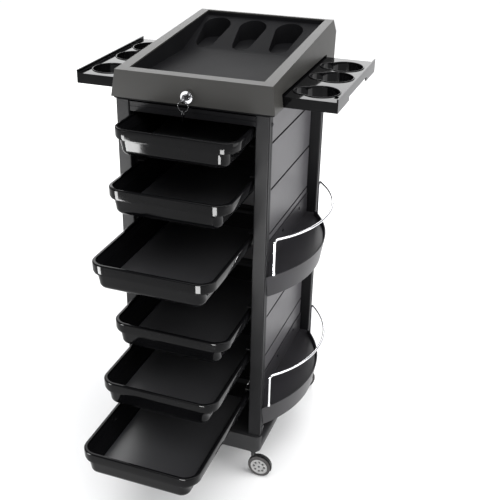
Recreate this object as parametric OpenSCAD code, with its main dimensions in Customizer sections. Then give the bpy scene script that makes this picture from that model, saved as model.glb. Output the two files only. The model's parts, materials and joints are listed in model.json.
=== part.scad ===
// Rolling salon trolley: a tall narrow frame on four twin-wheel casters with six
// pull-out trays, a lockable top case with a sunken tray, two sliding tool wings
// and two railed side shelves. Millimetres, +Z up, the front faces -Y.
// Inside the modules y = 0 is the front face of the front posts; the if lines at
// the end move everything so that the origin is the centre of the bounding box's foot.

/* [Frame] */
// Width over the outer faces of the posts
body_w = 300; // [280:1:320]
// Depth over the front and rear faces of the posts
body_d = 371; // [368:1:380]
// Width of a post, left to right
post_w = 27; // [24:1:30]
// Depth of a post, front to back
post_d = 20; // [16:1:22]
// Height of the underside of the base above the floor
base_z = 70; // [68:1:74]
// Height of the base shell
base_h = 44; // [36:1:46]
// Height of the underside of the top case above the floor
case_z = 817.5; // [815:0.5:820]

/* [Top case] */
// Half width of the case at its lower edge
case_half_w = 159; // [158:0.5:162]
// How far each side leans inward per millimetre of height
case_lean = 0.14; // [0.1:0.01:0.16]
// Height of the front panel
case_front_h = 49.8; // [48:0.1:52]
// Height of the rear edge above the case's lower edge
case_rear_h = 78.5; // [76:0.5:82]
// Width of the rim along the two sides
rim_side = 20; // [18:1:24]
// Depth of the sunken tray's floor below the front rim
tray_floor_drop = 23.8; // [20:0.1:24]
// Radius of the three egg-shaped niches at their rear
niche_r = 29; // [24:1:30]

/* [Pull-out trays] */
// Half width of a tray over its rim
tray_half_w = 119.5; // [116:0.5:119.5]
// Length of a tray over its rim
tray_len = 350; // [330:1:352]
// Height of a tray
tray_h = 50; // [40:1:50]
// How far the narrower tub's sides stand back from the rim
tray_step = 13.5; // [13:0.5:16]
// How far the tub's front stands back from the rim
tray_front_step = 1.5; // [1:0.1:1.8]

/* [Tool wings] */
// How far a wing's outer edge is from the trolley's centre
wing_reach = 257; // [250:1:260]
// Radius of a wing's big tool holes
wing_hole_r = 34; // [30:1:34]
// Radius of the small lobe beside each big hole
wing_lobe_r = 23; // [18:0.5:24]

/* [Side shelves] */
// Radius of the bowed outer edge
shelf_bow_r = 264; // [255:1:268]
// Height of a shelf's apron
shelf_h = 49; // [40:1:52]
// Height of a guard rail above the shelf's edge
rail_h = 78; // [60:1:82]
// Radius of the guard rail's wire
wire_r = 2.5; // [2:0.1:3]

/* [Casters] */
// Radius of a wheel
wheel_r = 25; // [24:0.5:25.5]
// Width of one of the two wheels
wheel_w = 5.5; // [5:0.5:7]
// Trail, from the swivel axis to the axle
trail = 16; // [14:0.5:18]

/* [Hidden] */
$fn = 64;
// Depth of the whole trolley: the lowest tray's front to the case's back
front_y = -282;
rear_y = 426;
origin_y = (front_y + rear_y) / 2;

post_x = body_w / 2 - post_w;
base_top = base_z + base_h;
// The base reaches past the posts all round and tapers in towards its foot
base_half_w = 153;
base_lip = 6;
base_draft = 5;
base_wall = 3;
base_r = 14;
post_wall = 1.8;
post_bead = 0.8;
case_front_z = case_z + case_front_h;
case_rear_z = case_z + case_rear_h;
case_floor_t = 3.5;
post_top = case_z - case_floor_t;
// The case's side view: front foot, front lip, rear edge and rear foot
case_front_y = -1.3;
case_lip_y = 3.8;
case_back_y = 414;
case_foot_y = 393;
case_wall = 3.5;
rim_t = 3;
rim_front_y = 23;
rim_rear_y = 409;
recess_half_w = case_half_w - case_lean * 62 - rim_side;
tray_floor_z = case_front_z - tray_floor_drop;
niche_x = [-94, -14, 66];
niche_front_y = 303;
niche_front_r = 20;
niche_rear_y = 368;
ledge_y = 399;
ledge_z = case_z + 67.5;
ramp_y = 267;

// Height of each tray's rim and how far it is pulled out at rest
tray_rim_z = [789, 688, 574, 411, 311, 211];
tray_pull = [78, 112, 190, 116, 176, 270];
tray_closed_y = -12;
tray_corner_r = 30;
tray_wall = 2;
tray_back_step = 12;
// Width of the rim's top face along the front, where the inside begins
tray_rim_w = 8;
skirt_h = 18;
rail_gap = 0.4;

wing_top_z = case_z + 20.5;
wing_low_z = case_z + 0.8;
wing_t = 3;
wing_y0 = 48;
wing_y1 = 337;
wing_inner_x = 117;
wing_lip = 6;
wing_hole_x = 211;
wing_lobe_x = 186.5;
wing_slot_gap = 4;
wing_hole_y = [100, 200, 278];
wing_lobe_dy = -4;
collar_t = 2.5;

lock_x = -6;
lock_z = case_z + 15.5;
lock_bezel_r = 11.5;
lock_barrel_r = 9.5;
lock_plug_r = 6;
lock_seat_y = -1.2;
lock_nut_y = 5.6;
cam_len = 30;
// Keys: hole radius, hole centre in front of the lock, and the ring through both
key_hole_r = 3.2;
key_hole_y = -20;
key_bow_r = 8;
ring_r = 10;
ring_wire = 0.9;
// The ring's wire rests on the lower edge of the first key's hole
ring_top_z = lock_z - key_hole_r + ring_wire + 0.1;
ring_z = ring_top_z - ring_r;
// The spare key's hole rests on the ring's lowest point
spare_z = ring_z - ring_r - key_hole_r + ring_wire + 0.1;

shelf_edge_z = [495, 185];
shelf_bow_x = -52;
shelf_bow_y = 173;
shelf_taper = 8;
shelf_sink = 10;
shelf_t = 3;
back_plate_t = 2.2;
back_plate_h = 36;
shelf_x = body_w / 2 + 0.3;
rail_arc_r = 222;
rail_arc_x = 1.5;
rail_arc_y = 174;
rail_half_angle = 42.2;
rail_bend_r = 8;

panel_x = 123.2;
panel_t = 3.8;
plank_pitch = 95;
plank_first_z = 164;

caster_x = 131;
caster_front_y = 16;
caster_rear_y = 354;
// Direction in which each caster trails: front left, front right, rear left, rear right
caster_turn = [210, 0, 150, 35];
wheel_gap = 5.8;
hood_w = 5;
axle_r = 2.5;
stem_r = 3.5;
stem_z = 51;
fit_gap = 0.05;

// ---------- outlines ----------

// Quarter round of radius r about (cx, cy), starting at angle a0
function quarter(cx, cy, r, a0, steps = 6) =
    [for (i = [0:steps]) [cx + r * cos(a0 + 90 * i / steps), cy + r * sin(a0 + 90 * i / steps)]];

// Rectangle from (x0, y0) to (x1, y1) with front corners rf and rear corners rr
function round_rect(x0, y0, x1, y1, rf, rr) = concat(
    quarter(x0 + rf, y0 + rf, rf, 180), quarter(x1 - rf, y0 + rf, rf, 270),
    quarter(x1 - rr, y1 - rr, rr, 0), quarter(x0 + rr, y1 - rr, rr, 90));

module slab(x0, y0, x1, y1, z0, z1, rf, rr) {
    translate([0, 0, z0]) linear_extrude(z1 - z0) polygon(round_rect(x0, y0, x1, y1, rf, rr));
}

module block(x0, y0, z0, x1, y1, z1) {
    translate([x0, y0, z0]) cube([x1 - x0, y1 - y0, z1 - z0]);
}

// A cylinder along +Y from y0 to y1
module rod_y(x, z, y0, y1, r) {
    translate([x, y0, z]) rotate([-90, 0, 0]) cylinder(h = y1 - y0, r = r);
}

// A cylinder along +X from x0 to x1
module rod_x(y, z, x0, x1, r) {
    translate([x0, y, z]) rotate([0, 90, 0]) cylinder(h = x1 - x0, r = r);
}

// ---------- base and frame ----------

// A thin slice of the base at height z, drawn in by inset
module base_slice(inset, z) {
    all = inset + base_draft * (base_top - z) / base_h;
    half = base_half_w - all;
    r = base_r - inset;
    slab(-half, -base_lip + all, half, body_d + base_lip - all, z, z + 0.01, r, r);
}

module base_volume(inset, z0, z1) {
    hull() {
        base_slice(inset, z0);
        base_slice(inset, z1 - 0.01);
    }
}

module base_shell() {
    color("#3a3a3e") difference() {
        base_volume(0, base_z, base_top);
        base_volume(base_wall, base_z - 1, base_top - base_wall);
    }
}

module base_plate() {
    color("#2c2c30") base_volume(base_wall, base_z, base_z + 4);
}

// A two-celled tube. side: -1 left, 1 right; y0: front face of the post
module post(side, y0) {
    outer_x = body_w / 2;
    y1 = y0 + post_d;
    cell_w = (post_w - 3 * post_wall) / 2;
    color("#3c3c42") scale([side, 1, 1]) difference() {
        slab(post_x, y0, outer_x, y1, base_top, post_top, 2.5, 2.5);
        for (x = [post_x + post_wall, outer_x - post_wall - cell_w])
            block(x, y0 + post_wall, base_top - 1, x + cell_w, y1 - post_wall, post_top + 1);
        // shallow bead along the outer face
        block(outer_x - post_bead, y0 + post_d / 2 - 1, base_top + 6,
              outer_x + 1, y0 + post_d / 2 + 1, post_top - 6);
    }
}

// Side panel with the look of stacked planks: a groove every plank_pitch
module side_panel(side) {
    groove = 4.5;
    groove_depth = 2.6;
    color("#707078") scale([side, 1, 1]) difference() {
        block(panel_x, post_d, base_top, panel_x + panel_t, body_d - post_d, post_top);
        for (z = [plank_first_z:plank_pitch:post_top - 20])
            block(panel_x + panel_t - groove_depth, post_d - 1, z - groove / 2,
                  panel_x + panel_t + 1, body_d - post_d + 1, z + groove / 2);
    }
}

module back_panel() {
    y0 = body_d - post_d + 1;
    color("#4c4c52") block(-post_x, y0, base_top, post_x, y0 + 3, post_top);
}

// Web with a lower runner and an upper keeper for each tray's rim
module tray_rails(side) {
    web_t = 1.8;
    runner_x = tray_half_w - 12;
    runner_t = 2;
    color("#202022") scale([side, 1, 1]) union() {
        block(post_x - web_t, post_d, base_top, post_x, body_d - post_d, post_top - 22);
        for (t = tray_rim_z) {
            block(runner_x, post_d, t - skirt_h - rail_gap - runner_t,
                  post_x - 1, body_d - post_d, t - skirt_h - rail_gap);
            block(runner_x, post_d, t + rail_gap, post_x - 1, body_d - post_d, t + rail_gap + runner_t);
        }
    }
}

// An upside-down channel between the front posts
module front_cross_rail() {
    rail_h = 18;
    front = 2;
    back = 12;
    rail_z = post_top - 3 - rail_h;
    color("#34343a") difference() {
        slab(-post_x, front, post_x, back, rail_z, rail_z + rail_h, 0.8, 0.8);
        block(-post_x - 1, front + post_wall, rail_z - 1,
              post_x + 1, back - post_wall, rail_z + rail_h - post_wall);
        // shallow bead along the front
        block(-post_x - 1, front - 1, rail_z + rail_h / 2,
              post_x + 1, front + post_bead, rail_z + rail_h / 2 + 2);
    }
}

module case_floor() {
    half = case_half_w - 3;
    color("#1e1e20") difference() {
        slab(-half, 1.5, half, case_foot_y - 5, post_top, case_z, 4, 4);
        // opening that the lock's cam swings down through
        block(lock_x - 12, 12.5, post_top - 1, lock_x + cam_len + 4, 20, case_z + 1);
    }
}

// Cross-head screws that hold the frame: two on each post's outer face, top and bottom
module frame_screws() {
    head_r = 3.5;
    head_t = 1.5;
    color("#303034") for (side = [-1, 1], y = [post_d / 2 + 5, body_d - post_d / 2 - 5],
                         z = [base_top + 16, post_top - 18])
        scale([side, 1, 1]) difference() {
            rod_x(y, z, body_w / 2, body_w / 2 + head_t, head_r);
            block(body_w / 2 + 0.7, y - 0.5, z - 2.2, body_w / 2 + 3, y + 0.5, z + 2.2);
            block(body_w / 2 + 0.7, y - 2.2, z - 0.5, body_w / 2 + 3, y + 2.2, z + 0.5);
        }
}

// ---------- top case ----------

// The case's volume, drawn in by inset on every side and dropped by drop at the top
module case_volume(inset, drop, foot) {
    kink_z = case_z + 53.5;
    slope = (case_rear_z - case_front_z) / (case_back_y - case_lip_y);
    intersection() {
        // side view
        rotate([90, 0, 90]) translate([0, 0, -200]) linear_extrude(400)
            polygon([[case_front_y + inset, case_z - foot],
                     [case_foot_y - inset, case_z - foot],
                     [rear_y - inset, kink_z],
                     [case_back_y - inset, case_rear_z - drop - slope * inset],
                     [case_lip_y + inset, case_front_z - drop + slope * inset]]);
        // front view
        rotate([90, 0, 0]) translate([0, 0, -500]) linear_extrude(600)
            polygon([[-case_half_w + inset - case_lean * foot, case_z - foot],
                     [case_half_w - inset + case_lean * foot, case_z - foot],
                     [case_half_w - inset - case_lean * 100, case_z + 100],
                     [-case_half_w + inset + case_lean * 100, case_z + 100]]);
    }
}

module top_case() {
    mouth_z = case_z + 43;
    color("#4a4a48") difference() {
        union() {
            difference() {
                case_volume(0, 0, 0);
                case_volume(case_wall, rim_t, 1);
            }
            // flat boss that the lock's bezel and nut clamp
            rod_y(lock_x, lock_z, lock_seat_y, lock_nut_y, 12.4);
        }
        // mouth of the sunken tray
        block(-recess_half_w, rim_front_y, mouth_z, recess_half_w, rim_rear_y, case_z + 200);
        // slots that the wings slide through
        block(-200, wing_y0 - 2, case_z - 2, 200, wing_y1 + 5, wing_top_z + wing_slot_gap);
        // hole for the lock barrel
        rod_y(lock_x, lock_z, -10, 10, lock_barrel_r + 0.1);
    }
}

// Side profile of the sunken tray's underside, moved down by t
function tray_profile(t) = [
    [rim_front_y - t, case_z + 150], [rim_front_y - t, tray_floor_z - t],
    [ramp_y + t / 2, tray_floor_z - t], [ledge_y + t / 2, ledge_z - t],
    [rim_rear_y + t, ledge_z - t], [rim_rear_y + t, case_z + 150]];

module tray_volume(t) {
    rotate([90, 0, 90]) translate([0, 0, -recess_half_w - t])
        linear_extrude(2 * (recess_half_w + t)) polygon(tray_profile(t));
}

// Outline of a niche grown by g: a large rear arc, a small front arc and straight sides
function niche_outline(g, steps = 18) =
    let (rear = niche_r + g, front = niche_front_r + g,
         tilt = asin((rear - front) / (niche_rear_y - niche_front_y)))
    concat([for (i = [0:steps]) let (a = -tilt + (180 + 2 * tilt) * i / steps)
                [rear * cos(a), niche_rear_y + rear * sin(a)]],
           [for (i = [0:steps]) let (a = 180 + tilt + (180 - 2 * tilt) * i / steps)
                [front * cos(a), niche_front_y + front * sin(a)]]);

module niche(x, g, z0, z1) {
    translate([x, 0, z0]) linear_extrude(z1 - z0) polygon(niche_outline(g));
}

module top_tray() {
    wall = 2.5;
    color("#161618") intersection() {
        difference() {
            union() {
                tray_volume(wall);
                intersection() {
                    for (x = niche_x) niche(x, wall, tray_floor_z - wall, ledge_z);
                    block(-recess_half_w - wall, 200, case_z, recess_half_w + wall, rim_rear_y, ledge_z);
                }
            }
            tray_volume(0);
            for (x = niche_x) niche(x, 0, tray_floor_z, case_z + 160);
        }
        case_volume(case_wall + 0.2, rim_t + 0.1, 0);
    }
}

// Two upright runners a side that keep each wing level in its slot
module wing_guides() {
    inner_x = 16;
    play = 0.6;
    guide_t = 2.8;
    color("#202022") for (side = [-1, 1]) scale([side, 1, 1]) {
        block(inner_x, wing_y0 - play - guide_t, case_z, body_w / 2, wing_y0 - play, wing_top_z - wing_t);
        block(inner_x, wing_y1 + play, case_z, body_w / 2, wing_y1 + play + guide_t, wing_top_z - wing_t);
    }
}

// ---------- lock ----------

module lock_barrel() {
    color("silver") difference() {
        union() {
            rod_y(lock_x, lock_z, -5, lock_seat_y, lock_bezel_r);
            rod_y(lock_x, lock_z, -2, 14, lock_barrel_r);
        }
        rod_y(lock_x, lock_z, -6, 16, lock_plug_r + fit_gap);
    }
}

module lock_nut() {
    color("silver") difference() {
        translate([lock_x, lock_nut_y, lock_z]) rotate([-90, 0, 0]) cylinder(h = 4, r = 13, $fn = 6);
        rod_y(lock_x, lock_z, 3, 12, lock_barrel_r);
    }
}

// Turning plug with the key's slot
module lock_plug() {
    color("gainsboro") difference() {
        rod_y(lock_x, lock_z, -5.6, 14.3, lock_plug_r);
        block(lock_x - 1.1, -7, lock_z - 3.6, lock_x + 1.1, 6, lock_z + 3.6);
        rod_y(lock_x, lock_z, 8, 15, 1.6);
    }
}

// A flat key: blade along +Y into the plug, bow outside
module key() {
    bow_y = key_hole_y + 2.5;
    color("silver") difference() {
        union() {
            block(lock_x - 1, bow_y + 5, lock_z - 3, lock_x + 1, 5.5, lock_z + 3);
            rod_x(bow_y, lock_z, lock_x - 1, lock_x + 1, key_bow_r);
        }
        rod_x(key_hole_y, lock_z, lock_x - 3, lock_x + 3, key_hole_r);
    }
}

// Cam that lies sideways when unlocked and hooks behind the cross rail when locked
module lock_cam() {
    color("silver") difference() {
        union() {
            rod_y(lock_x, lock_z, 14.3, 16.8, 8);
            block(lock_x, 14.3, lock_z - 6, lock_x + cam_len, 16.8, lock_z + 6);
        }
        rod_y(lock_x, lock_z, 13, 18, 2);
    }
}

module cam_screw() {
    color("dimgray") union() {
        rod_y(lock_x, lock_z, 16.8, 18.8, 3.6);
        rod_y(lock_x, lock_z, 9, 16.8, 1.6);
    }
}

// Split ring that hangs through the key's bow
module key_ring() {
    color("silver") translate([lock_x, key_hole_y, ring_z]) rotate([90, 0, 0])
        rotate_extrude() translate([ring_r, 0]) circle(r = ring_wire, $fn = 24);
}

// Spare key hanging down from the ring
module spare_key() {
    blade_end = spare_z - 15;
    color("silver") difference() {
        union() {
            rod_x(key_hole_y, spare_z - 1, lock_x - 1, lock_x + 1, 6.5);
            block(lock_x - 1, key_hole_y - 2.6, blade_end, lock_x + 1, key_hole_y + 2.6, spare_z - 5);
        }
        rod_x(key_hole_y, spare_z, lock_x - 3, lock_x + 3, key_hole_r);
    }
}

// ---------- pull-out trays ----------

// i: 0 at the top; the tray is drawn where it is pulled to at rest
module tray(i) {
    front = tray_closed_y - tray_pull[i];
    back = front + tray_len;
    t = tray_rim_z[i];
    hw = tray_half_w;
    tub = hw - tray_step;
    tub_front = front + tray_front_step;
    tub_back = back - tray_back_step;
    r = tray_corner_r;
    tub_r = r - 8;
    rear_r = 12;
    tub_rear_r = 10;
    flange_t = 2.5;
    color("#101012") difference() {
        union() {
            slab(-hw, front, hw, back, t - skirt_h, t, r, rear_r);
            slab(-tub, tub_front, tub, tub_back, t - tray_h, t - 1, tub_r, tub_rear_r);
        }
        // under the rim, between skirt and tub
        difference() {
            slab(-hw + tray_wall, front + tray_wall, hw - tray_wall, back - tray_wall,
                 t - tray_h - 1, t - flange_t, r - tray_wall, rear_r - tray_wall);
            slab(-tub, tub_front, tub, tub_back, t - tray_h - 2, t, tub_r, tub_rear_r);
        }
        // inside of the tub
        slab(-tub + tray_wall, front + tray_rim_w, tub - tray_wall, tub_back - tray_wall,
             t - tray_h + tray_wall, t + 1, tub_r - tray_wall, tub_rear_r - tray_wall);
    }
}

// ---------- tool wings ----------

// Outline solid of one keyhole opening, grown by g
module keyhole(y, g, z0, z1) {
    translate([wing_hole_x, y, z0]) cylinder(h = z1 - z0, r = wing_hole_r + g);
    translate([wing_lobe_x, y + wing_lobe_dy, z0]) cylinder(h = z1 - z0, r = wing_lobe_r + g);
}

// side: -1 left, 1 right. Drawn pulled out, as it stands at rest
module wing(side) {
    fascia_t = 3;
    skirt_x = 150;
    notch_y0 = 130;
    notch_y1 = 265;
    slot_x = wing_reach - 14;
    color("#17171a") scale([side, 1, 1]) difference() {
        union() {
            block(wing_inner_x, wing_y0, wing_top_z - wing_t, wing_reach, wing_y1, wing_top_z);
            block(wing_reach - fascia_t, wing_y0, wing_low_z, wing_reach, wing_y1, wing_top_z + wing_lip);
            for (y = [wing_y0, wing_y1 - 3])
                block(skirt_x, y, wing_low_z, wing_reach, y + 3, wing_top_z);
            for (y = wing_hole_y) keyhole(y, collar_t, wing_low_z, wing_top_z - 1);
        }
        for (y = wing_hole_y) keyhole(y, 0, wing_low_z - 1, wing_top_z + 1);
        // finger notch in the fascia's lower edge
        block(wing_reach - 5, notch_y0, wing_low_z - 1, wing_reach + 1, notch_y1, wing_low_z + 8);
        // cable slot
        block(slot_x, 70, wing_top_z - 5, slot_x + 7, 84, wing_top_z + 1);
    }
}

// ---------- side shelves ----------

module shelf(edge_z) {
    front = post_d + 0.5;
    rear = body_d - post_d - 0.5;
    plate_x = panel_x + panel_t;
    color("#55555a") union() {
        // bowed apron, leaning in towards its foot
        intersection() {
            translate([shelf_bow_x, shelf_bow_y, 0]) rotate([0, 0, -50])
                rotate_extrude(angle = 100, $fn = 128) polygon([
                    [shelf_bow_r - shelf_t, edge_z], [shelf_bow_r, edge_z],
                    [shelf_bow_r - shelf_taper, edge_z - shelf_h],
                    [shelf_bow_r - shelf_taper - shelf_t, edge_z - shelf_h]]);
            block(shelf_x, -50, edge_z - 60, 300, 400, edge_z + 10);
        }
        // floor outside the posts
        intersection() {
            translate([shelf_bow_x, shelf_bow_y, edge_z - shelf_sink - shelf_t])
                cylinder(h = shelf_t, r = shelf_bow_r - 4, $fn = 128);
            block(shelf_x, -50, edge_z - 60, 300, 400, edge_z + 10);
        }
        // floor between the posts and the back plate against the side panel
        block(plate_x, front, edge_z - shelf_sink - shelf_t, shelf_x, rear, edge_z - shelf_sink);
        block(plate_x, front, edge_z - shelf_h, plate_x + back_plate_t, rear, edge_z + back_plate_h);
    }
}

// A guard rail's bend and leg at one end of its arc, about the arc's centre
module rail_end() {
    rotate([0, 0, -rail_half_angle]) translate([rail_arc_r, 0, -rail_bend_r]) {
        rotate([0, 90, 0]) rotate([0, 0, 180]) rotate_extrude(angle = 90)
            translate([rail_bend_r, 0]) circle(r = wire_r, $fn = 32);
        translate([0, -rail_bend_r, -rail_h + rail_bend_r + wire_r])
            cylinder(h = rail_h - rail_bend_r - wire_r, r = wire_r, $fn = 32);
    }
}

module guard_rail(edge_z) {
    color("gainsboro") translate([rail_arc_x, rail_arc_y, edge_z + rail_h - wire_r]) union() {
        rotate([0, 0, -rail_half_angle]) rotate_extrude(angle = 2 * rail_half_angle, $fn = 128)
            translate([rail_arc_r, 0]) circle(r = wire_r, $fn = 32);
        rail_end();
        scale([1, -1, 1]) rail_end();
    }
}

// Place of a rail's foot, about the arc's centre
foot_x = rail_arc_r * cos(rail_half_angle) - rail_bend_r * sin(rail_half_angle);
foot_y = rail_arc_r * sin(rail_half_angle) + rail_bend_r * cos(rail_half_angle);

module guard_rail_ferrules() {
    ferrule_r = wire_r + 0.5;
    ferrule_h = 6;
    color("silver") for (z = shelf_edge_z, s = [-1, 1])
        translate([rail_arc_x + foot_x, rail_arc_y + s * foot_y, z]) difference() {
            cylinder(h = ferrule_h, r = ferrule_r);
            translate([0, 0, -1]) cylinder(h = ferrule_h + 2, r = wire_r);
        }
}

// Screws through the back plates into the side panel
module shelf_screws() {
    x = panel_x + panel_t + back_plate_t;
    color("#303034") for (ez = shelf_edge_z, y = [60, 173, 290], z = [-30, 22])
        translate([x, y, ez + z]) rotate([0, 90, 0]) difference() {
            cylinder(h = 1.4, r = 3.2);
            translate([-2, -0.4, 0.7]) cube([4, 0.8, 2]);
            translate([-0.4, -2, 0.7]) cube([0.8, 4, 2]);
        }
}

// ---------- casters ----------

// Moves its children from a caster's own frame: swivel axis at x = 0, trailing along +X
module at_caster(i) {
    x = (i % 2 == 0) ? -caster_x : caster_x;
    y = (i < 2) ? caster_front_y : caster_rear_y;
    translate([x, y, 0]) rotate([0, 0, caster_turn[i]]) children();
}

// Fixed swivel stems with their round flanges, one under each corner of the base
module caster_stems() {
    color("silver") for (i = [0:3]) at_caster(i) union() {
        translate([0, 0, base_z - 3]) cylinder(h = 3, r = 12);
        translate([0, 0, stem_z]) cylinder(h = base_z - 1 - stem_z, r = stem_r);
    }
}

// Centre hood between the two wheels, with the stem's socket
module caster_hood(i) {
    hood_r = wheel_r + 1.5;
    collar_z = 61;
    color("#222224") at_caster(i) difference() {
        union() {
            intersection() {
                translate([trail, hood_w / 2, wheel_r]) rotate([90, 0, 0])
                    cylinder(h = hood_w, r = hood_r);
                block(-30, -hood_w / 2, wheel_r - 8, 60, hood_w / 2, 60);
            }
            // neck between the two wheels, the stem's socket above them, and its collar
            block(-4, -hood_w / 2, stem_z - 10, trail, hood_w / 2, stem_z);
            translate([0, 0, stem_z - 2]) cylinder(h = collar_z - stem_z + 2, r = 5);
            translate([0, 0, collar_z]) cylinder(h = base_z - 3.6 - collar_z, r = 9);
        }
        // blind socket for the stem
        translate([0, 0, stem_z - 1]) cylinder(h = 40, r = stem_r + fit_gap);
        // bore for the axle
        rod_y(trail, wheel_r, -20, 20, axle_r + fit_gap);
    }
}

module caster_axle(i) {
    half = wheel_gap / 2 + wheel_w - 0.5;
    color("silver") at_caster(i) rod_y(trail, wheel_r, -half, half, axle_r);
}

// Both rubber tyres of one caster
module caster_tyres(i) {
    tyre_in = wheel_r - 6;
    bevel = 2;
    color("#2a2728") at_caster(i) for (s = [-1, 1])
        translate([trail, s * (wheel_gap + wheel_w) / 2, wheel_r]) rotate([90, 0, 0])
            rotate_extrude() polygon([
                [tyre_in, -wheel_w / 2], [wheel_r - bevel, -wheel_w / 2],
                [wheel_r, -wheel_w / 2 + bevel], [wheel_r, wheel_w / 2 - bevel],
                [wheel_r - bevel, wheel_w / 2], [tyre_in, wheel_w / 2]]);
}

// Both white hub discs, each with a ring of round holes
module caster_hubs(i) {
    hub_r = wheel_r - 6;
    hole_count = 8;
    hole_r = 2.8;
    color("#e8e6e4") at_caster(i) for (s = [-1, 1])
        translate([trail, s * (wheel_gap + wheel_w) / 2, wheel_r]) rotate([90, 0, 0])
            difference() {
                translate([0, 0, -wheel_w / 2 + 0.8]) cylinder(h = wheel_w - 1.6, r = hub_r);
                translate([0, 0, -10]) cylinder(h = 20, r = axle_r);
                for (k = [0:hole_count - 1]) rotate([0, 0, 360 * k / hole_count])
                    translate([hub_r * 0.6, 0, -10]) cylinder(h = 20, r = hole_r);
            }
}

// ---------- assembly ----------

module placed() {
    translate([0, -origin_y, 0]) children();
}

placed() base_shell();
placed() base_plate();
placed() post(-1, 0);  // post_front_left
placed() post(1, 0);  // post_front_right
placed() post(-1, body_d - post_d);  // post_rear_left
placed() post(1, body_d - post_d);  // post_rear_right
placed() side_panel(-1);  // left_side_panel
placed() side_panel(1);  // right_side_panel
placed() back_panel();
placed() tray_rails(-1);  // left_tray_rails
placed() tray_rails(1);  // right_tray_rails
placed() front_cross_rail();
placed() case_floor();
placed() top_case();
placed() top_tray();
placed() wing_guides();
placed() lock_barrel();
placed() lock_nut();
placed() shelf(shelf_edge_z[0]);  // upper_shelf
placed() shelf(shelf_edge_z[1]);  // lower_shelf
placed() guard_rail(shelf_edge_z[0]);  // upper_guard_rail
placed() guard_rail(shelf_edge_z[1]);  // lower_guard_rail
placed() guard_rail_ferrules();
placed() shelf_screws();
placed() frame_screws();
placed() caster_stems();
placed() tray(0);  // tray_1
placed() tray(1);  // tray_2
placed() tray(2);  // tray_3
placed() tray(3);  // tray_4
placed() tray(4);  // tray_5
placed() tray(5);  // tray_6
placed() wing(-1);  // left_wing
placed() wing(1);  // right_wing
placed() lock_plug();
placed() key();
placed() lock_cam();
placed() cam_screw();
placed() key_ring();
placed() spare_key();
placed() caster_hood(0);  // caster_hood_fl
placed() caster_hood(1);  // caster_hood_fr
placed() caster_hood(2);  // caster_hood_rl
placed() caster_hood(3);  // caster_hood_rr
placed() caster_axle(0);  // caster_axle_fl
placed() caster_axle(1);  // caster_axle_fr
placed() caster_axle(2);  // caster_axle_rl
placed() caster_axle(3);  // caster_axle_rr
placed() caster_tyres(0);  // caster_tyres_fl
placed() caster_tyres(1);  // caster_tyres_fr
placed() caster_tyres(2);  // caster_tyres_rl
placed() caster_tyres(3);  // caster_tyres_rr
placed() caster_hubs(0);  // caster_hubs_fl
placed() caster_hubs(1);  // caster_hubs_fr
placed() caster_hubs(2);  // caster_hubs_rl
placed() caster_hubs(3);  // caster_hubs_rr
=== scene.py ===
"""Rolling salon trolley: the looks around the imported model. Lengths are in metres, +Z up, front at -Y."""
import json
import math

import bpy
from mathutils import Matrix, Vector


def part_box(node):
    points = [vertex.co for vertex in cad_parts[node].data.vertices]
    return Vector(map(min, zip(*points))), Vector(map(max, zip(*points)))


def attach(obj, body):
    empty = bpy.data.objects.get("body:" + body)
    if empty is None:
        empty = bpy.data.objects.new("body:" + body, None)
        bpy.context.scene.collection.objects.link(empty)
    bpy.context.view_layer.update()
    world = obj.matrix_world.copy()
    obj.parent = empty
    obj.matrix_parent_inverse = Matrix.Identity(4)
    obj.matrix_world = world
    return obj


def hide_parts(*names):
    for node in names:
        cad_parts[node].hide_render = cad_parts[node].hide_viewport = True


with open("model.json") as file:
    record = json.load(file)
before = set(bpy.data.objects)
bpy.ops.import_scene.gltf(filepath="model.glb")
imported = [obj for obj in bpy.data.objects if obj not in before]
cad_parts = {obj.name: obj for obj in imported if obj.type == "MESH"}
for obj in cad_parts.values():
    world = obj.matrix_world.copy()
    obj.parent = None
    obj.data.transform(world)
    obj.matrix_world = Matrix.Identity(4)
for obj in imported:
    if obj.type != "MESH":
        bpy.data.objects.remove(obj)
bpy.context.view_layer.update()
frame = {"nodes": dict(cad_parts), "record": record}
NODES = frame["nodes"]
MM = 0.001
# Distance from the middle plane to just outside the bottom of the side panels' grooves; nearer the middle
# plane than this, the panels get painted shade
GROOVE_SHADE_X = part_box("right_side_panel")[1][0] - 1.0 * MM


# ---------- material kit ----------

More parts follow.
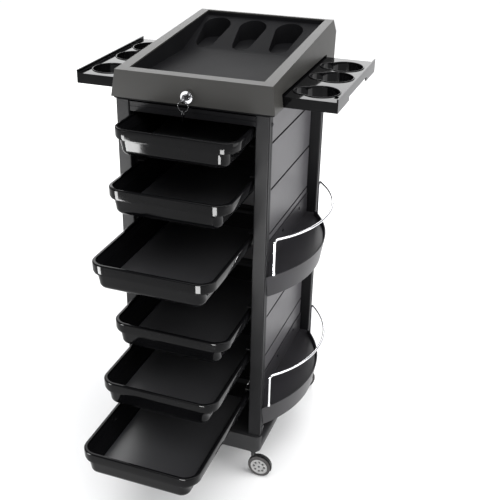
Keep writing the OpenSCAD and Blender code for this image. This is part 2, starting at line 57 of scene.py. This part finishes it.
class Surface:
    """A Principled material whose colour, roughness and bump come from noise in the object's own space."""

    def __init__(self, name, metallic=0.0, specular=0.5):
        self.material = bpy.data.materials.new(name)
        self.material.use_nodes = True
        self.tree = self.material.node_tree
        self.shader = self.tree.nodes["Principled BSDF"]
        self.shader.inputs["Metallic"].default_value = metallic
        self.shader.inputs["Specular IOR Level"].default_value = specular
        self.place = self.tree.nodes.new("ShaderNodeTexCoord").outputs["Object"]

    def noise(self, scale, detail=3.0, stretch=None):
        """Noise with scale features per metre, stretched along an axis if asked."""
        place = self.place
        if stretch:
            mapping = self.tree.nodes.new("ShaderNodeMapping")
            mapping.inputs["Scale"].default_value = stretch
            self.tree.links.new(place, mapping.inputs["Vector"])
            place = mapping.outputs["Vector"]
        noise = self.tree.nodes.new("ShaderNodeTexNoise")
        noise.inputs["Scale"].default_value = scale
        noise.inputs["Detail"].default_value = detail
        self.tree.links.new(place, noise.inputs["Vector"])
        return noise.outputs["Fac"]

    def colours(self, factor, low, high):
        """Base colour that runs from low to high over the noise."""
        ramp = self.tree.nodes.new("ShaderNodeValToRGB")
        ramp.color_ramp.elements[0].position = 0.35
        ramp.color_ramp.elements[1].position = 0.65
        ramp.color_ramp.elements[0].color = (*low, 1.0)
        ramp.color_ramp.elements[1].color = (*high, 1.0)
        self.tree.links.new(factor, ramp.inputs["Fac"])
        self.tree.links.new(ramp.outputs["Color"], self.shader.inputs["Base Color"])

    def roughness(self, factor, low, high):
        spread = self.tree.nodes.new("ShaderNodeMapRange")
        spread.inputs["From Min"].default_value = 0.3
        spread.inputs["From Max"].default_value = 0.7
        spread.inputs["To Min"].default_value = low
        spread.inputs["To Max"].default_value = high
        self.tree.links.new(factor, spread.inputs["Value"])
        self.tree.links.new(spread.outputs["Result"], self.shader.inputs["Roughness"])

    def bump(self, factor, depth, strength=0.5):
        """Bump of that depth in metres."""
        bump = self.tree.nodes.new("ShaderNodeBump")
        bump.inputs["Distance"].default_value = depth
        bump.inputs["Strength"].default_value = strength
        self.tree.links.new(factor, bump.inputs["Height"])
        self.tree.links.new(bump.outputs["Normal"], self.shader.inputs["Normal"])


def grained_plastic(name, dark, light, rough, grain=0.06 * MM, specular=0.45):
    """Moulded plastic with a fine spark-eroded grain and faint handling marks."""
    surface = Surface(name, specular=specular)
    surface.colours(surface.noise(14, 2), dark, light)
    surface.roughness(surface.noise(40, 2), rough, rough + 0.012)
    surface.bump(surface.noise(1500, 2), grain, 0.45)
    return surface.material


def gloss_plastic(name, dark, light, rough=0.07, specular=0.4):
    """Polished plastic: soft waviness, and wiping marks that dull it a little."""
    surface = Surface(name, specular=specular)
    surface.colours(surface.noise(11, 3), dark, light)
    surface.roughness(surface.noise(26, 3, (1.0, 0.35, 1.0)), rough, rough + 0.04)
    surface.bump(surface.noise(60, 2), 0.03 * MM, 0.12)
    return surface.material


def polished_metal(name, tone, rough):
    surface = Surface(name, metallic=1.0)
    low = tuple(0.93 * value for value in tone)
    surface.colours(surface.noise(40, 3), low, tone)
    surface.roughness(surface.noise(90, 5), rough, rough + 0.07)
    surface.bump(surface.noise(500, 2), 0.01 * MM, 0.2)
    return surface.material


def drawn_metal(name, tone, rough, along):
    """Metal with fine drawing lines along one axis."""
    surface = Surface(name, metallic=1.0)
    low = tuple(0.82 * value for value in tone)
    lines = surface.noise(260, 4, along)
    surface.colours(lines, low, tone)
    surface.roughness(lines, rough, rough + 0.14)
    surface.bump(lines, 0.02 * MM, 0.35)
    return surface.material


def rubber(name, dark, light):
    surface = Surface(name, specular=0.3)
    surface.colours(surface.noise(120, 5), dark, light)
    surface.roughness(surface.noise(200, 4), 0.55, 0.75)
    surface.bump(surface.noise(900, 3), 0.08 * MM, 0.6)
    return surface.material


FINE_GRAIN = 0.03 * MM
PANEL_DARK, PANEL_LIGHT = (0.066, 0.064, 0.069), (0.072, 0.070, 0.075)


def panel_plastic(name):
    """The side panels' satin grey."""
    return grained_plastic(name, PANEL_DARK, PANEL_LIGHT, 0.38, FINE_GRAIN, 0.3)


MATERIALS = {
    "charcoal_plastic": grained_plastic("charcoal_plastic", (0.017, 0.017, 0.018), (0.020, 0.020, 0.021),
                                        0.40, specular=0.2),
    "frame_dark": grained_plastic("frame_dark", (0.010, 0.010, 0.011), (0.012, 0.012, 0.013),
                                  0.38, FINE_GRAIN, 0.08),
    "panel_grey": panel_plastic("panel_grey"),
    "case_plastic": grained_plastic("case_plastic", (0.038, 0.037, 0.034), (0.042, 0.041, 0.038),
                                    0.38, specular=0.2),
    "liner_black": grained_plastic("liner_black", (0.010, 0.010, 0.011), (0.012, 0.012, 0.013),
                                   0.50, FINE_GRAIN, 0.03),
    "runner_black": grained_plastic("runner_black", (0.012, 0.012, 0.013), (0.015, 0.015, 0.016), 0.34),
    "shelf_plastic": grained_plastic("shelf_plastic", (0.022, 0.021, 0.023), (0.025, 0.024, 0.027),
                                     0.34, FINE_GRAIN, 0.2),
    "gloss_black": gloss_plastic("gloss_black", (0.0030, 0.0030, 0.0034), (0.0042, 0.0042, 0.0046),
                                 0.04, 0.12),
    "chrome": polished_metal("chrome", (0.86, 0.86, 0.88), 0.05),
    "runner_steel": drawn_metal("runner_steel", (0.55, 0.56, 0.58), 0.28, (1.0, 0.04, 1.0)),
    "black_screws": polished_metal("black_screws", (0.05, 0.05, 0.055), 0.3),
    "screw_steel": polished_metal("screw_steel", (0.10, 0.10, 0.11), 0.25),
    "key_steel": polished_metal("key_steel", (0.10, 0.10, 0.104), 0.16),
    "caster_black": grained_plastic("caster_black", (0.012, 0.012, 0.013), (0.018, 0.018, 0.019), 0.26),
    "tyre_rubber": rubber("tyre_rubber", (0.030, 0.027, 0.027), (0.042, 0.038, 0.038)),
    "hub_white": gloss_plastic("hub_white", (0.42, 0.415, 0.41), (0.47, 0.465, 0.46), 0.25, 0.3),
}
TRAY_FLOOR = grained_plastic("tray_floor", (0.034, 0.034, 0.036), (0.037, 0.037, 0.039),
                             0.30, FINE_GRAIN, 0.5)


def planked_with_groove_shade(name):
    """The side panels' satin grey, with painted shade that makes the bottoms of the grooves between the
    planks black.
    """
    material = panel_plastic(name)
    tree = material.node_tree
    shader = tree.nodes["Principled BSDF"]
    grey = shader.inputs["Base Color"].links[0].from_socket
    place = tree.nodes["Texture Coordinate"].outputs["Object"]
    # Painted shade: the bottoms of the grooves, nearer the middle plane than the limit above, take a
    # near-black colour instead of the grey.
    split = tree.nodes.new("ShaderNodeSeparateXYZ")
    outward = tree.nodes.new("ShaderNodeMath")
    outward.operation = "ABSOLUTE"
    painted_groove_shade = tree.nodes.new("ShaderNodeMath")
    painted_groove_shade.operation = "LESS_THAN"
    painted_groove_shade.inputs[1].default_value = GROOVE_SHADE_X
    groove_shade_mix = tree.nodes.new("ShaderNodeMix")
    groove_shade_mix.data_type = "RGBA"
    groove_shade_mix.inputs["B"].default_value = (0.006, 0.006, 0.007, 1.0)
    tree.links.new(place, split.inputs["Vector"])
    tree.links.new(split.outputs["X"], outward.inputs[0])
    tree.links.new(outward.outputs[0], painted_groove_shade.inputs[0])
    tree.links.new(painted_groove_shade.outputs[0], groove_shade_mix.inputs["Factor"])
    tree.links.new(grey, groove_shade_mix.inputs["A"])
    tree.links.new(groove_shade_mix.outputs["Result"], shader.inputs["Base Color"])
    return material


def paint_nodes():
    """Gives every CAD node the material of its slot in the record."""
    for part in frame["record"]["subparts"]:
        mesh = NODES[part["node"]].data
        mesh.materials.clear()
        mesh.materials.append(MATERIALS[part["material_slot"]])
    # The side panels take the grey with painted shade at the bottoms of the grooves.
    planks = planked_with_groove_shade("panel_planks_groove_shade")
    for name in ("left_side_panel", "right_side_panel"):
        NODES[name].data.materials[0] = planks


# ---------- mesh kit ----------

def corner(x, y, radius, start, steps):
    """Points of a quarter turn about (x, y)."""
    angles = [math.radians(start + 90 * k / steps) for k in range(steps + 1)]
    return [(x + radius * math.cos(a), y + radius * math.sin(a)) for a in angles]


def rounded_ring(x0, y0, x1, y1, front_r, rear_r, z, steps=8):
    """A rounded rectangle at height z, anticlockwise from the front left corner."""
    points = corner(x0 + front_r, y0 + front_r, front_r, 180, steps)
    points += corner(x1 - front_r, y0 + front_r, front_r, 270, steps)
    points += corner(x1 - rear_r, y1 - rear_r, rear_r, 0, steps)
    points += corner(x0 + rear_r, y1 - rear_r, rear_r, 90, steps)
    return [(x, y, z) for x, y in points]


def make_piece(name, points, faces, materials, smooth_angle=35):
    """A new smooth-shaded mesh object with sharp edges above smooth_angle degrees."""
    mesh = bpy.data.meshes.new(name)
    mesh.from_pydata(points, [], faces)
    mesh.update()
    mesh.polygons.foreach_set("use_smooth", [True] * len(mesh.polygons))
    mesh.set_sharp_from_angle(angle=math.radians(smooth_angle))
    for material in materials:
        mesh.materials.append(material)
    piece = bpy.data.objects.new(name, mesh)
    bpy.context.scene.collection.objects.link(piece)
    return piece


def loft(rings, cap_start=True, cap_end=True):
    """Points and faces of a skin through rings that all have the same number of points."""
    count = len(rings[0])
    points = [point for ring in rings for point in ring]
    faces = []
    for row in range(len(rings) - 1):
        for k in range(count):
            a, b = row * count + k, row * count + (k + 1) % count
            faces.append((a, b, b + count, a + count))
    if cap_start:
        faces.append(tuple(reversed(range(count))))
    if cap_end:
        last = (len(rings) - 1) * count
        faces.append(tuple(range(last, last + count)))
    return points, faces


def soften(node, width, segments=3, angle=32):
    """Rounds a CAD node's edges with modifiers; its own mesh stays as it is."""
    piece = NODES[node]
    weld = piece.modifiers.new("weld", "WELD")
    weld.merge_threshold = 0.01 * MM
    bevel = piece.modifiers.new("edge", "BEVEL")
    bevel.width = width
    bevel.segments = segments
    bevel.limit_method = "ANGLE"
    bevel.angle_limit = math.radians(angle)
    bevel.harden_normals = True
    piece.modifiers.new("normals", "WEIGHTED_NORMAL")


# ---------- pull-out trays ----------

def arc(centre, radius, start, end, steps):
    """(inset, height) points of an arc in a wall's section."""
    angles = [math.radians(start + (end - start) * k / steps) for k in range(steps + 1)]
    return [(centre[0] + radius * math.cos(a), centre[1] + radius * math.sin(a)) for a in angles]


# A tray wall's section in millimetres as (inset from the rim's edge, height from the rim's top).
# It runs from the floor up the inside, over the rim and down to the skirt.
TRAY_DEPTH = 50
TRAY_INSIDE = ([(60, 3 - TRAY_DEPTH), (23.5, 3 - TRAY_DEPTH), (22.8, 2.3 - TRAY_DEPTH)]
               + arc((21.8, 5.0 - TRAY_DEPTH), 2.6, 290, 192, 5)
               + [(16.0, -20), (14.6, -14), (10.0, -8)]
               + arc((5.6, -2.4), 2.4, 350, 90, 6))
TRAY_RIM = arc((2.6, -2.6), 2.6, 90, 180, 6)
# The skirt's foot and the underside, (side inset, side height, front inset, front height):
# at the sides the tub tapers away behind the skirt, at the front it carries on flush with it.
TRAY_UNDER = [(0.0, -16.6, 0.3, -16.6), (0.3, -17.6, 0.35, -17.6), (1.2, -18.0, 0.4, -18.4),
              (2.2, -17.2, 0.45, -19.2), (2.6, -12, 0.5, -20.0), (11.8, -13.5, 0.6, -21.0),
              (13.5, -18, 0.8, -22.5), (16.2, -36, 3.2, -36)]
TRAY_UNDER += [(x, z, x - 12.5, z) for x, z in arc((28.0, -38.0), 12.0, 184, 270, 8)]
# Corner radii of the rim in millimetres
TRAY_RIM_R = 30
TRAY_REAR_R = 12
# From the front edge back, how far the front's heights hold, and then how far they take to fade
TRAY_FRONT_KEPT = 8 * MM
TRAY_FRONT_FADE = 46 * MM


def tray_ring(low, high, inset, height, front, front_height):
    """One ring of a tray's skin, whose heights pass from the front's to the sides' over the corners."""
    side = inset * MM
    rear = min(inset, TRAY_REAR_R + 0.4 * max(inset - TRAY_REAR_R, 0)) * MM
    front_r = max(TRAY_RIM_R - 0.75 * inset, 9) * MM
    rear_r = max(TRAY_REAR_R - 0.3 * inset, 5) * MM
    ring = []
    for x, y, z in rounded_ring(low[0] + side, low[1] + front * MM, high[0] - side, high[1] - rear,
                                front_r, rear_r, high[2]):
        behind = max(0.0, y - low[1] - TRAY_FRONT_KEPT)
        share = max(0.0, 1.0 - behind / TRAY_FRONT_FADE)
        ring.append((x, y, z + (height + (front_height - height) * share) * MM))
    return ring


def tray(number):
    """A glossy tray: rolled rim with a skirt, tapering tub, satin floor."""
    node = f"tray_{number}"
    low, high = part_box(node)
    section = [(x, z, 0.55 * x + 1.5 if x > 6 else x, z) for x, z in TRAY_INSIDE]
    section += [(x, z, x, z) for x, z in TRAY_RIM] + TRAY_UNDER
    rings = [tray_ring(low, high, *step) for step in section]
    points, faces = loft(rings)
    piece = make_piece(f"{node}_moulding", points, faces, [MATERIALS["gloss_black"], TRAY_FLOOR], 30)
    # the floor is the first two bands, and the first cap, which comes after all the bands
    per_ring = len(rings[0])
    first_cap = len(faces) - 2
    for face in piece.data.polygons:
        if face.index < 2 * per_ring or face.index == first_cap:
            face.material_index = 1
    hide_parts(node)
    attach(piece, node)


# ---------- tool wings ----------

def keyhole_outline(big_x, big_y, big_r, small_x, small_y, small_r, steps):
    """Points round two overlapping circles, the small one on the trolley's side of the big one."""
    reach = math.hypot(small_x - big_x, small_y - big_y)
    toward = math.atan2(small_y - big_y, small_x - big_x)
    open_big = math.acos((reach ** 2 + big_r ** 2 - small_r ** 2) / (2 * reach * big_r))
    open_small = math.acos((reach ** 2 + small_r ** 2 - big_r ** 2) / (2 * reach * small_r))
    points = []
    for k in range(steps + 1):
        angle = toward + open_big + (2 * math.pi - 2 * open_big) * k / steps
        points.append((big_x + big_r * math.cos(angle), big_y + big_r * math.sin(angle)))
    back = toward + math.pi
    for k in range(1, steps // 2):
        angle = back + open_small + (2 * math.pi - 2 * open_small) * k / (steps // 2)
        points.append((small_x + small_r * math.cos(angle), small_y + small_r * math.sin(angle)))
    return points


def bead_round(name, outline, z, radius):
    """A closed half-sunk bead that follows an outline in the plane at height z."""
    sides = 8
    count = len(outline)
    points = []
    for k in range(count):
        before, here, after = outline[k - 1], outline[k], outline[(k + 1) % count]
        along = (after[0] - before[0], after[1] - before[1])
        length = math.hypot(*along)
        out = (along[1] / length, -along[0] / length)
        for j in range(sides):
            angle = 2 * math.pi * j / sides
            reach = radius * math.cos(angle)
            points.append((here[0] + out[0] * reach, here[1] + out[1] * reach, z + radius * math.sin(angle)))
    faces = []
    for k in range(count):
        for j in range(sides):
            a, b = k * sides + j, k * sides + (j + 1) % sides
            c, d = ((k + 1) % count) * sides + (j + 1) % sides, ((k + 1) % count) * sides + j
            faces.append((a, d, c, b))
    return make_piece(name, points, faces, [MATERIALS["gloss_black"]], 80)


def wing_beads(side):
    """The raised lips round a wing's three keyholes, laid out as in the CAD part."""
    node = "right_wing" if side > 0 else "left_wing"
    low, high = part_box("right_wing")
    plate_z = high[2] - 6 * MM
    hole_x, lobe_x = high[0] - 46 * MM, high[0] - 70.5 * MM
    hole_r, lobe_r = 34 * MM, 23 * MM
    lip = 1.4 * MM
    for number, from_front in enumerate((52, 152, 230), 1):
        hole_y = low[1] + from_front * MM
        outline = keyhole_outline(hole_x, hole_y, hole_r + lip, lobe_x, hole_y - 4 * MM, lobe_r + lip, 40)
        outline = [(side * x, y) for x, y in outline]
        bead = bead_round(f"{node}_bead_{number}", outline, plate_z, lip)
        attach(bead, node)


# ---------- stage ----------

def add_camera():
    """The camera that the object is seen from, made for a 500 by 500 frame, which is not set here."""
    data = bpy.data.cameras.new("camera")
    data.sensor_width = 36.0
    data.lens = 63.56
    data.shift_x = 0.075
    data.shift_y = 0.044
    data.clip_end = 60
    camera = bpy.data.objects.new("camera", data)
    camera.location = (0.604, -1.478, 1.305)
    aim = Vector((-0.0152, 0.0718, 0.4044)) - camera.location
    camera.rotation_euler = aim.to_track_quat("-Z", "Y").to_euler()
    bpy.context.scene.collection.objects.link(camera)
    bpy.context.scene.camera = camera


def softbox(name, place, aim, width, height, watts, glossy_only=False):
    """A panel of light; a glossy-only one shows in shiny faces and lights nothing else."""
    data = bpy.data.lights.new(name, "AREA")
    data.shape = "RECTANGLE"
    data.size = width
    data.size_y = height
    data.energy = watts
    lamp = bpy.data.objects.new(name, data)
    lamp.location = place
    lamp.visible_camera = False
    lamp.visible_diffuse = not glossy_only
    turn = Vector(aim) - lamp.location
    lamp.rotation_euler = turn.to_track_quat("-Z", "Y").to_euler()
    bpy.context.scene.collection.objects.link(lamp)


def add_stage():
    """A plain pale floor under soft studio light, with panels of light round the trolley."""
    half = 14.0
    surface = Surface("studio_floor", specular=0.2)
    surface.colours(surface.noise(0.6, 2), (0.90, 0.90, 0.90), (0.92, 0.92, 0.92))
    surface.roughness(surface.noise(3, 2), 0.85, 0.95)
    floor = make_piece("floor", [(-half, -half, 0), (half, -half, 0), (half, half, 0), (-half, half, 0)],
                       [(0, 1, 2, 3)], [surface.material])
    world = bpy.data.worlds.new("studio")
    world.use_nodes = True
    sky = world.node_tree.nodes["Background"]
    sky.inputs["Color"].default_value = (0.96, 0.97, 1.0, 1.0)
    sky.inputs["Strength"].default_value = 0.35
    bpy.context.scene.world = world
    sun = bpy.data.lights.new("ceiling", "SUN")
    sun.energy = 2.7
    sun.angle = math.radians(70)
    ceiling = bpy.data.objects.new("ceiling", sun)
    ceiling.rotation_euler = (math.radians(12), math.radians(14), 0)
    bpy.context.scene.collection.objects.link(ceiling)
    softbox("panel_right", (1.9, 0.1, 0.9), (0.0, 0.1, 0.6), 1.6, 1.6, 26)
    softbox("panel_back", (-1.3, 2.7, 2.1), (0.0, 0.0, 0.8), 3.2, 2.4, 70)
    softbox("strip_front", (0.14, -0.98, 0.23), (0.10, -0.1, 0.35), 0.36, 0.42, 26, True)
    softbox("strip_left", (-0.74, -0.86, 0.23), (-0.1, -0.1, 0.35), 0.30, 0.42, 20, True)
    softbox("fill_left", (-1.8, -2.2, 1.0), (0.0, 0.0, 0.6), 0.8, 1.4, 14)
    bpy.context.scene.view_settings.view_transform = "Standard"


add_camera()
add_stage()
paint_nodes()

for name in ("post_front_left", "post_front_right", "post_rear_left", "post_rear_right",
             "front_cross_rail", "lock_cam", "key", "spare_key"):
    soften(name, 0.4 * MM, 2)
for name in ("base_shell", "upper_shelf", "lower_shelf"):
    soften(name, 1.2 * MM)
soften("top_case", 1.8 * MM)
for name in ("left_side_panel", "right_side_panel", "back_panel", "left_wing", "right_wing",
             "case_floor", "left_tray_rails", "right_tray_rails", "wing_guides"):
    soften(name, 0.6 * MM, 2)
soften("top_tray", 1.0 * MM, 2)

for number in range(1, 7):
    tray(number)
for side in (-1, 1):
    wing_beads(side)
